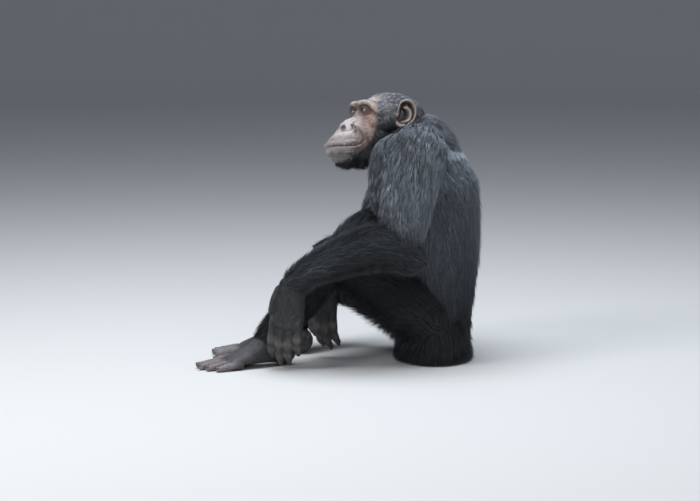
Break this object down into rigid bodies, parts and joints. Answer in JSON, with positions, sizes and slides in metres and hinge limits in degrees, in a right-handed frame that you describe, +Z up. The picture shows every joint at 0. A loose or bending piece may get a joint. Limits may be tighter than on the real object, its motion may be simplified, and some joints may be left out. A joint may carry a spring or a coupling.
{
  "type": "chimpanzee model",
  "caption": "Life-size still model of a seated chimpanzee with drawn-up knees, arms hanging past them and the head turned to its left, made to rest on a flat floor.",
  "frame": {"origin": "centre of the flat under the rump, on the floor", "axes": "+Z up, the animal faces -X and its left side is towards -Y"},
  "size_m": [0.6682, 0.5201, 0.6268],
  "materials": {
    "coat": "black hair with a grey-blue sheen, long on the shoulders, arms and back",
    "skin": "bare creased skin, brown on the face and ears, dark grey on the hands and feet",
    "eye": "wet gloss, brown iris and dark white of the eye"
  },
  "bodies": {
    "root": {"rump": "coat", "belly": "coat", "chest": "coat", "neck": "coat", "head": "skin", "eye_left": "eye", "ear_left": "skin", "upper_arm_left": "coat", "forearm_left": "coat", "hand_left": "skin", "index_finger_left": "skin", "middle_finger_left": "skin", "ring_finger_left": "skin", "little_finger_left": "skin", "thumb_left": "skin", "thigh_left": "coat", "shin_left": "coat", "foot_left": "skin", "big_toe_left": "skin", "second_toe_left": "skin", "third_toe_left": "skin", "fourth_toe_left": "skin", "little_toe_left": "skin", "eye_right": "eye", "ear_right": "skin", "upper_arm_right": "coat", "forearm_right": "coat", "hand_right": "skin", "index_finger_right": "skin", "middle_finger_right": "skin", "ring_finger_right": "skin", "little_finger_right": "skin", "thumb_right": "skin", "thigh_right": "coat", "shin_right": "coat", "foot_right": "skin", "big_toe_right": "skin", "second_toe_right": "skin", "third_toe_right": "skin", "fourth_toe_right": "skin", "little_toe_right": "skin"}
  },
  "joints": []
}
